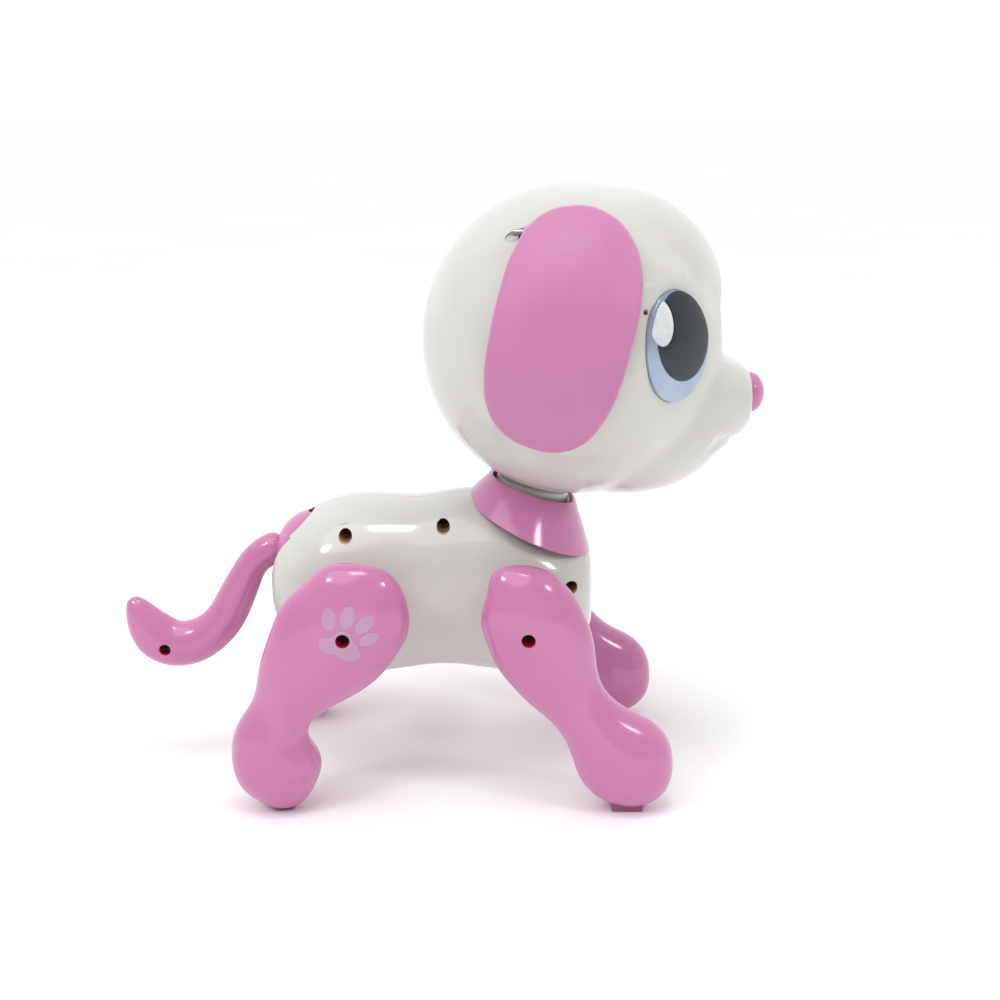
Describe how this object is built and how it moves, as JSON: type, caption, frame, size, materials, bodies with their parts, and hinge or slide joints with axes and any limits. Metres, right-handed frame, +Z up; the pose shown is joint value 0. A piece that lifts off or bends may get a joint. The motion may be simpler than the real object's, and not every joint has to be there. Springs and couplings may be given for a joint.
{
  "type": "robot dog toy",
  "caption": "Walking robot puppy toy with moulded shells, geared legs that swing from the hips, turning ball head, flapping ears, wagging tail and a belly battery hatch.",
  "frame": {"origin": "on the floor under the middle of the toy's length and width", "axes": "+X towards the nose, +Y to the puppy's left, +Z up"},
  "size_m": [0.2133, 0.1084, 0.1965],
  "materials": {
    "white_abs": "glossy moulded ABS, off-white",
    "pink_abs": "glossy moulded ABS, pink",
    "pink_soft": "satin soft vinyl, pink",
    "pink_rubber": "matt thermoplastic rubber, dark pink",
    "steel": "zinc plated",
    "eye_silver": "metallised glossy plastic, silver blue",
    "eye_dark": "polished dark slate plastic",
    "led_clear": "clear epoxy",
    "cell_wrap": "printed sleeve without marks, grey",
    "nickel": "nickel plated spring steel",
    "black_abs": "fine matt",
    "white_pom": "natural acetal, satin",
    "brass": "turned",
    "motor_steel": "zinc plated, drawn",
    "board": "green solder mask"
  },
  "bodies": {
    "body": {"body_shell_right": "white_abs", "body_shell_left": "white_abs", "body_screws": "steel", "battery_hatch": "white_abs", "battery_box": "black_abs", "battery_cells": "cell_wrap", "battery_contacts": "nickel", "collar": "pink_abs", "speaker": "black_abs", "circuit_board": "board", "switch_case": "black_abs", "gearbox_plates": "black_abs", "gearbox_posts": "black_abs", "motor": "motor_steel", "tail_post": "steel"},
    "switch": {"switch_knob": "black_abs"},
    "drive": {"drive_gear": "white_pom", "drive_axle": "steel"},
    "idler": {"idler_gear": "white_pom"},
    "pinion": {"motor_pinion": "brass"},
    "head": {"head_shell_right": "white_abs", "head_shell_left": "white_abs", "head_screws": "steel", "eye_shell_right": "eye_silver", "eye_shell_left": "eye_silver", "eye_pupil_right": "eye_dark", "eye_pupil_left": "eye_dark", "eye_leds": "led_clear", "nose": "pink_abs", "neck_stem": "white_abs", "ear_pins": "steel"},
    "ear_right": {"ear_right": "pink_soft"},
    "ear_left": {"ear_left": "pink_soft"},
    "tail": {"tail_half_right": "pink_abs", "tail_half_left": "pink_abs", "tail_hub": "pink_abs", "tail_screw": "steel"},
    "leg_front_right": {"leg_outer_front_right": "pink_abs", "leg_inner_front_right": "pink_abs", "foot_pad_front_right": "pink_rubber", "hip_screw_front_right": "steel", "hip_shaft_front_right": "white_pom"},
    "leg_front_left": {"leg_outer_front_left": "pink_abs", "leg_inner_front_left": "pink_abs", "foot_pad_front_left": "pink_rubber", "hip_screw_front_left": "steel", "hip_shaft_front_left": "white_pom"},
    "leg_rear_right": {"leg_outer_rear_right": "pink_abs", "leg_inner_rear_right": "pink_abs", "foot_pad_rear_right": "pink_rubber", "hip_screw_rear_right": "steel", "hip_shaft_rear_right": "white_pom"},
    "leg_rear_left": {"leg_outer_rear_left": "pink_abs", "leg_inner_rear_left": "pink_abs", "foot_pad_rear_left": "pink_rubber", "hip_screw_rear_left": "steel", "hip_shaft_rear_left": "white_pom"},
    "link_right": {"walk_link_right": "white_pom"},
    "link_left": {"walk_link_left": "white_pom"}
  },
  "joints": [
    {"name": "head_turn", "type": "hinge", "parent": "body", "child": "head", "pos_m": [0.0432, 0, 0.147], "axis": [0.2419, 0, 0.9703], "range_deg": [-30, 30]},
    {"name": "ear_right_flap", "type": "hinge", "parent": "head", "child": "ear_right", "pos_m": [0.035, -0.0295, 0.183], "axis": [-1, 0, 0], "range_deg": [0, 11]},
    {"name": "ear_left_flap", "type": "hinge", "parent": "head", "child": "ear_left", "pos_m": [0.035, 0.0295, 0.183], "axis": [1, 0, 0], "range_deg": [0, 11]},
    {"name": "tail_wag", "type": "hinge", "parent": "body", "child": "tail", "pos_m": [-0.0407, 0, 0.0749], "axis": [0, 0, 1], "range_deg": [-17, 17]},
    {"name": "switch_slide", "type": "slide", "parent": "body", "child": "switch", "axis": [1, 0, 0], "range_m": [0, 0.004]},
    {"name": "drive_spin", "type": "hinge", "parent": "body", "child": "drive", "pos_m": [0.006, 0, 0.071], "axis": [0, 1, 0], "continuous": true},
    {"name": "idler_spin", "type": "hinge", "parent": "body", "child": "idler", "pos_m": [-0.009, 0, 0.071], "axis": [0, 1, 0], "continuous": true},
    {"name": "pinion_spin", "type": "hinge", "parent": "body", "child": "pinion", "pos_m": [-0.0228, 0, 0.071], "axis": [0, 1, 0], "continuous": true},
    {"name": "walk_front_right", "type": "hinge", "parent": "body", "child": "leg_front_right", "pos_m": [0.029, -0.039, 0.0603], "axis": [0, 1, 0], "range_deg": [-14, 14]},
    {"name": "walk_front_left", "type": "hinge", "parent": "body", "child": "leg_front_left", "pos_m": [0.029, 0.039, 0.0603], "axis": [0, 1, 0], "range_deg": [-14, 14]},
    {"name": "walk_rear_right", "type": "hinge", "parent": "body", "child": "leg_rear_right", "pos_m": [-0.0283, -0.039, 0.0603], "axis": [0, 1, 0], "range_deg": [-14, 14]},
    {"name": "walk_rear_left", "type": "hinge", "parent": "body", "child": "leg_rear_left", "pos_m": [-0.0283, 0.039, 0.0603], "axis": [0, 1, 0], "range_deg": [-14, 14]},
    {"name": "link_right_pivot", "type": "hinge", "parent": "leg_front_right", "child": "link_right", "pos_m": [0.029, -0.0203, 0.0693], "axis": [0, 1, 0], "range_deg": [-14, 14]},
    {"name": "link_left_pivot", "type": "hinge", "parent": "leg_front_left", "child": "link_left", "pos_m": [0.029, 0.0203, 0.0693], "axis": [0, 1, 0], "range_deg": [-14, 14]}
  ],
  "couplings": [
    {"joint": "idler_spin", "follows": "drive_spin", "ratio": -4},
    {"joint": "pinion_spin", "follows": "drive_spin", "ratio": 14.4},
    {"joint": "walk_rear_right", "follows": "walk_front_right", "ratio": 1},
    {"joint": "walk_front_left", "follows": "walk_front_right", "ratio": -1},
    {"joint": "walk_rear_left", "follows": "walk_front_right", "ratio": -1},
    {"joint": "link_right_pivot", "follows": "walk_front_right", "ratio": -1},
    {"joint": "link_left_pivot", "follows": "walk_front_right", "ratio": 1}
  ]
}
